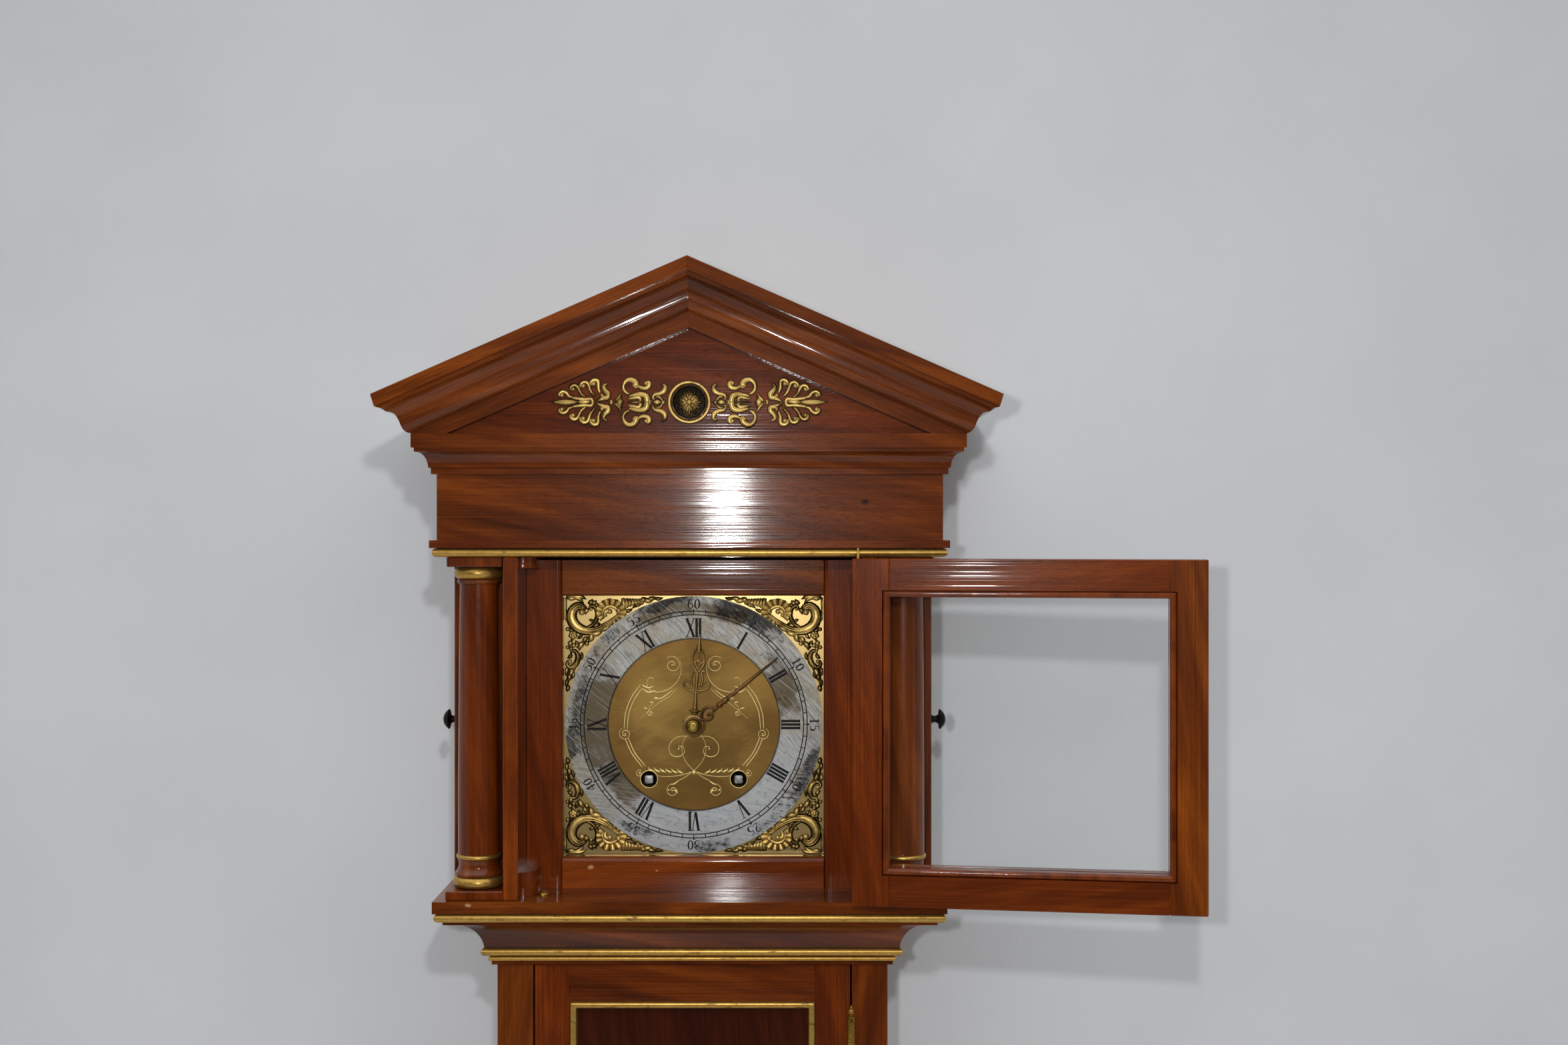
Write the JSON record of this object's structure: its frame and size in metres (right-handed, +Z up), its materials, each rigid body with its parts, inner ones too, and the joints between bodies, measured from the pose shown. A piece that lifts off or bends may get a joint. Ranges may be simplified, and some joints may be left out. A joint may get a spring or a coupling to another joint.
{
  "type": "longcase clock",
  "caption": "Tall mahogany longcase clock with a pedimented hood on columns, glazed hood door open, brass dial with silvered chapter ring, long trunk door, weights and pendulum.",
  "frame": {"origin": "centre of the plinth's underside, on the floor", "axes": "+Z up the clock, +X to the right of someone facing the dial, -Y towards that person"},
  "size_m": [0.7502, 0.3064, 2.0042],
  "materials": {
    "mahogany": "French-polished reddish-brown mahogany with fine streaky grain",
    "carcase_wood": "plain oiled secondary wood, dull and darkened with age",
    "gilding": "old gilding on wood, satin, worn to red-brown on its high parts",
    "antique_brass": "cast brass, dark in the hollows and rubbed on the relief",
    "dark_bronze": "near-black patinated bronze",
    "dial_brass": "matt engraved brass",
    "silvered_brass": "silvered brass ring with tarnish and fine scratches",
    "hand_brass": "bronze-brown brass, polished edges",
    "movement_brass": "lacquered clock brass",
    "steel": "bright and slightly oily clockmaker's steel",
    "bell_metal": "grey-gold bell metal",
    "cast_iron_weight": "black painted cast iron",
    "gut_line": "twisted gut",
    "clear_glass": "clear old window glass"
  },
  "bodies": {
    "case": {"plinth_skirt": "mahogany", "base_front": "mahogany", "base_boards": "mahogany", "waist_moulding": "mahogany", "trunk_sides": "mahogany", "back_board": "carcase_wood", "trunk_front_frame": "mahogany", "throat_moulding": "mahogany", "throat_gilt_beads": "gilding", "seat_board": "carcase_wood", "trunk_hinges_case": "antique_brass", "dial_plate": "dial_brass", "chapter_ring": "silvered_brass", "spandrels": "antique_brass", "movement_frame": "movement_brass", "bell": "bell_metal", "line_going": "gut_line", "line_strike": "gut_line"},
    "trunk_door": {"trunk_door_frame": "mahogany", "trunk_door_panel": "mahogany", "trunk_door_gilt_bead": "gilding", "trunk_hinges_door": "antique_brass", "trunk_door_lock": "antique_brass"},
    "key": {"trunk_key": "steel"},
    "hood": {"hood_sill": "mahogany", "hood_ledge": "mahogany", "hood_gilt_trim": "gilding", "columns": "mahogany", "hood_posts": "mahogany", "dial_mask": "mahogany", "hood_side_frames": "mahogany", "frieze": "mahogany", "pediment_cornice": "mahogany", "tympanum_board": "mahogany", "tympanum_mount": "antique_brass", "roof_boards": "carcase_wood", "door_pivot_pins": "steel"},
    "hood_door": {"hood_door_frame": "mahogany", "hood_door_glass": "clear_glass"},
    "left_door": {"side_door_left": "mahogany", "side_knob_left": "dark_bronze"},
    "right_door": {"side_door_right": "mahogany", "side_knob_right": "dark_bronze"},
    "centre_train": {"centre_arbor": "steel", "minute_hand": "hand_brass", "hand_nut": "hand_brass"},
    "hour_train": {"hour_wheel": "movement_brass", "hour_hand": "hand_brass"},
    "motion_train": {"motion_wheel": "movement_brass"},
    "going_drum": {"going_barrel": "movement_brass"},
    "third_train": {"third_wheel": "movement_brass"},
    "escape_train": {"escape_wheel": "movement_brass"},
    "pallets": {"anchor": "steel"},
    "pendulum": {"pendulum_rod": "steel", "pendulum_bob": "movement_brass"},
    "strike_drum": {"strike_barrel": "movement_brass"},
    "pin_train": {"pin_wheel": "movement_brass"},
    "striker": {"hammer": "steel"},
    "going_weight": {"weight_going": "cast_iron_weight"},
    "strike_weight": {"weight_strike": "cast_iron_weight"}
  },
  "joints": [
    {"name": "hood_slide", "type": "slide", "parent": "case", "child": "hood", "axis": [0, -1, 0], "range_m": [0, 0.2]},
    {"name": "hood_door_hinge", "type": "hinge", "parent": "hood", "child": "hood_door", "pos_m": [0.15535, -0.118, 1.5735], "axis": [0, 0, 1], "range_deg": [-172, 3]},
    {"name": "left_door_hinge", "type": "hinge", "parent": "hood", "child": "left_door", "pos_m": [-0.22495, 0.0945, 1.5735], "axis": [0, 0, 1], "range_deg": [-100, 0]},
    {"name": "right_door_hinge", "type": "hinge", "parent": "hood", "child": "right_door", "pos_m": [0.22495, 0.0945, 1.5735], "axis": [0, 0, 1], "range_deg": [0, 100]},
    {"name": "trunk_door_hinge", "type": "hinge", "parent": "case", "child": "trunk_door", "pos_m": [0.1507, -0.073, 0.937], "axis": [0, 0, 1], "range_deg": [0, 120]},
    {"name": "key_turn", "type": "hinge", "parent": "trunk_door", "child": "key", "pos_m": [-0.1334, -0.08, 0.937], "axis": [0, 1, 0], "range_deg": [0, 180]},
    {"name": "centre_spin", "type": "hinge", "parent": "case", "child": "centre_train", "pos_m": [0, 0.03, 1.5695], "axis": [0, 1, 0], "continuous": true},
    {"name": "hour_spin", "type": "hinge", "parent": "case", "child": "hour_train", "pos_m": [0, 0.03, 1.5695], "axis": [0, 1, 0], "continuous": true},
    {"name": "motion_spin", "type": "hinge", "parent": "case", "child": "motion_train", "pos_m": [0.02806, 0.03, 1.5533], "axis": [0, 1, 0], "continuous": true},
    {"name": "going_drum_spin", "type": "hinge", "parent": "case", "child": "going_drum", "pos_m": [0.0433, 0.03, 1.5165], "axis": [0, 1, 0], "continuous": true},
    {"name": "third_spin", "type": "hinge", "parent": "case", "child": "third_train", "pos_m": [0, 0.03, 1.6019], "axis": [0, 1, 0], "continuous": true},
    {"name": "escape_spin", "type": "hinge", "parent": "case", "child": "escape_train", "pos_m": [0, 0.03, 1.6308], "axis": [0, 1, 0], "continuous": true},
    {"name": "pendulum_swing", "type": "hinge", "parent": "case", "child": "pendulum", "pos_m": [0, 0.078, 1.6565], "axis": [0, 1, 0], "range_deg": [-3, 3]},
    {"name": "pallet_rock", "type": "hinge", "parent": "case", "child": "pallets", "pos_m": [0, 0.03, 1.6565], "axis": [0, 1, 0], "range_deg": [-3, 3]},
    {"name": "strike_drum_spin", "type": "hinge", "parent": "case", "child": "strike_drum", "pos_m": [-0.0433, 0.03, 1.5165], "axis": [0, 1, 0], "continuous": true},
    {"name": "pin_spin", "type": "hinge", "parent": "case", "child": "pin_train", "pos_m": [-0.054, 0.03, 1.5715], "axis": [0, 1, 0], "continuous": true},
    {"name": "hammer_lift", "type": "hinge", "parent": "case", "child": "striker", "pos_m": [-0.066, 0.03, 1.6215], "axis": [0, 1, 0], "range_deg": [-12, 0], "stiffness_Nm_per_rad": 0.1, "springref_deg": 2.86},
    {"name": "going_weight_rise", "type": "slide", "parent": "case", "child": "going_weight", "axis": [0, 0, 1], "range_m": [0, 0.56], "deforming": ["line_going"]},
    {"name": "strike_weight_rise", "type": "slide", "parent": "case", "child": "strike_weight", "axis": [0, 0, 1], "range_m": [0, 0.56], "deforming": ["line_strike"]}
  ],
  "couplings": [
    {"joint": "hour_spin", "follows": "centre_spin", "ratio": 0.083333},
    {"joint": "motion_spin", "follows": "centre_spin", "ratio": -1},
    {"joint": "going_drum_spin", "follows": "centre_spin", "ratio": -0.083333},
    {"joint": "third_spin", "follows": "centre_spin", "ratio": -8},
    {"joint": "escape_spin", "follows": "centre_spin", "ratio": 60},
    {"joint": "pallet_rock", "follows": "pendulum_swing", "ratio": 1},
    {"joint": "pin_spin", "follows": "strike_drum_spin", "ratio": -10}
  ]
}
